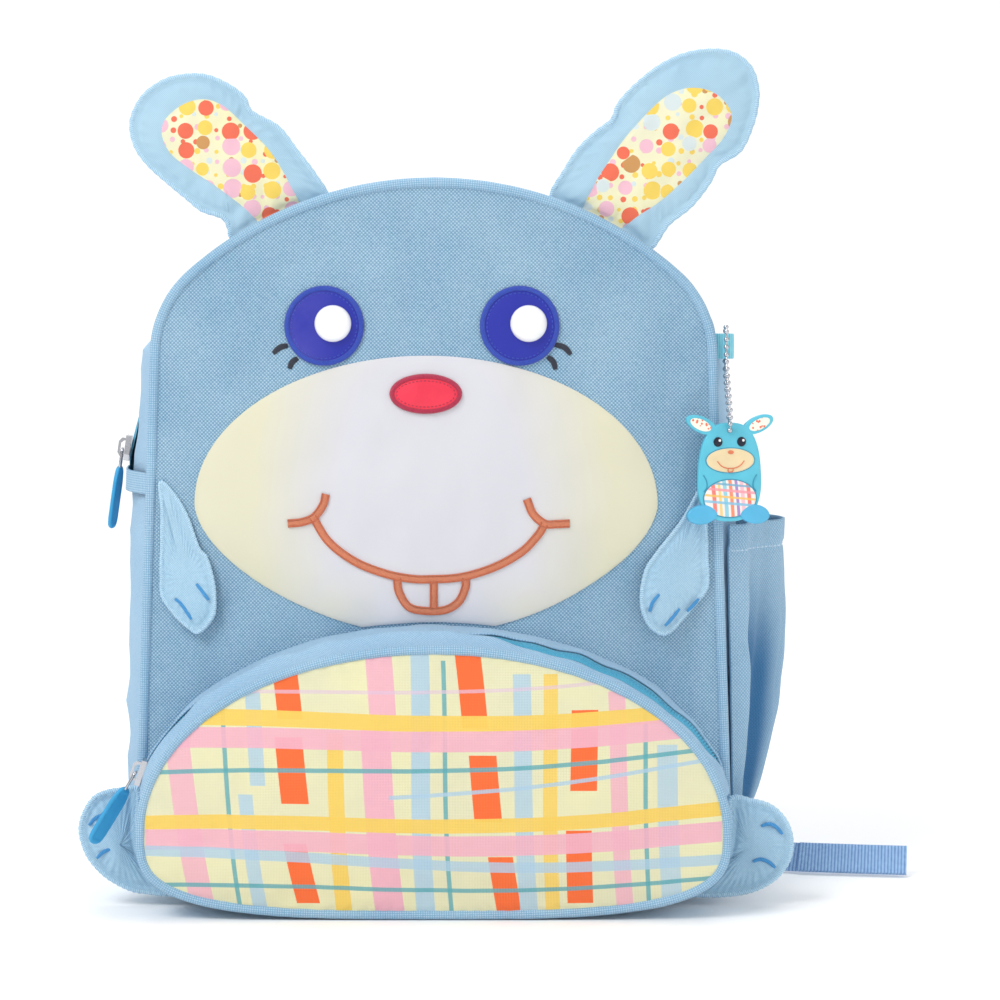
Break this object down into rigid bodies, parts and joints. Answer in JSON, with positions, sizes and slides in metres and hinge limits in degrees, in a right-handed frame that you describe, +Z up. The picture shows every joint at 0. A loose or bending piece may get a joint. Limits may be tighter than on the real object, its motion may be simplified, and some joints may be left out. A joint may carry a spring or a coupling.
{
  "type": "kids animal backpack",
  "caption": "Soft rabbit-faced child's backpack with zipped body, domed zipped front pocket, side pocket, ears, arms, feet, padded straps, grab handle and a hanging charm.",
  "frame": {"origin": "middle of the underside of the base, on the surface that the bag stands on", "axes": "+Z up, the front with the face looks along -Y, +X to the right of someone who looks at the face"},
  "size_m": [0.3961, 0.1912, 0.392],
  "materials": {
    "body_cloth": "light blue coarse woven polyester",
    "flap_cloth": "brighter light blue cloth with overlocked edges",
    "edging_cloth": "blue bias binding round a piping cord",
    "padded_cloth": "padded blue cloth and mesh",
    "muzzle_cloth": "smooth printed off-white cloth, cream at its sides",
    "print_cloth": "cream woven cloth with a printed check",
    "zip_tape": "teal zip tape with a nylon coil",
    "eye_vinyl": "navy violet vinyl with a stitched rim",
    "white_plastic": "white domed snap",
    "nose_vinyl": "red vinyl with a stitched rim",
    "nickel": "nickel-plated zinc",
    "pull_rubber": "blue moulded rubber",
    "charm_rubber": "moulded soft plastic in several colours",
    "ribbon": "aqua woven ribbon",
    "webbing": "ribbed blue polypropylene webbing",
    "lock_plastic": "blue acetal"
  },
  "bodies": {
    "root": {"front_panel": "body_cloth", "back_panel": "padded_cloth", "front_piping": "edging_cloth", "back_piping": "edging_cloth", "gusset_front_strip": "body_cloth", "gusset_back_strip": "body_cloth", "gusset_base": "body_cloth", "main_zip": "zip_tape", "main_zip_slider": "nickel", "pocket_panel": "print_cloth", "pocket_piping": "edging_cloth", "pocket_front_strip": "body_cloth", "pocket_back_strip": "body_cloth", "pocket_base": "body_cloth", "pocket_zip": "zip_tape", "pocket_zip_slider": "nickel", "muzzle": "muzzle_cloth", "nose": "nose_vinyl", "eye_left": "eye_vinyl", "eye_right": "eye_vinyl", "eye_dome_left": "white_plastic", "eye_dome_right": "white_plastic", "ear_left": "flap_cloth", "ear_right": "flap_cloth", "arm_left": "flap_cloth", "arm_right": "flap_cloth", "foot_left": "flap_cloth", "foot_right": "flap_cloth", "side_pocket": "body_cloth", "charm_loop": "ribbon", "charm_chain": "nickel", "charm": "charm_rubber", "shoulder_strap_left": "padded_cloth", "shoulder_strap_right": "padded_cloth", "ladder_lock_left": "lock_plastic", "ladder_lock_right": "lock_plastic", "webbing_left": "webbing", "webbing_right": "webbing", "strap_anchor_left": "body_cloth", "strap_anchor_right": "body_cloth", "grab_handle": "webbing"},
    "main_pull": {"main_zip_pull": "pull_rubber"},
    "pocket_pull": {"pocket_zip_pull": "pull_rubber"}
  },
  "joints": [
    {"name": "main_pull_hinge", "type": "hinge", "parent": "root", "child": "main_pull", "pos_m": [-0.14746, 0, 0.20802], "axis": [0, 1, 0], "range_deg": [0, 160]},
    {"name": "pocket_pull_hinge", "type": "hinge", "parent": "root", "child": "pocket_pull", "pos_m": [-0.1357, -0.07314, 0.0647], "axis": [0, 1, 0], "range_deg": [0, 130]}
  ]
}
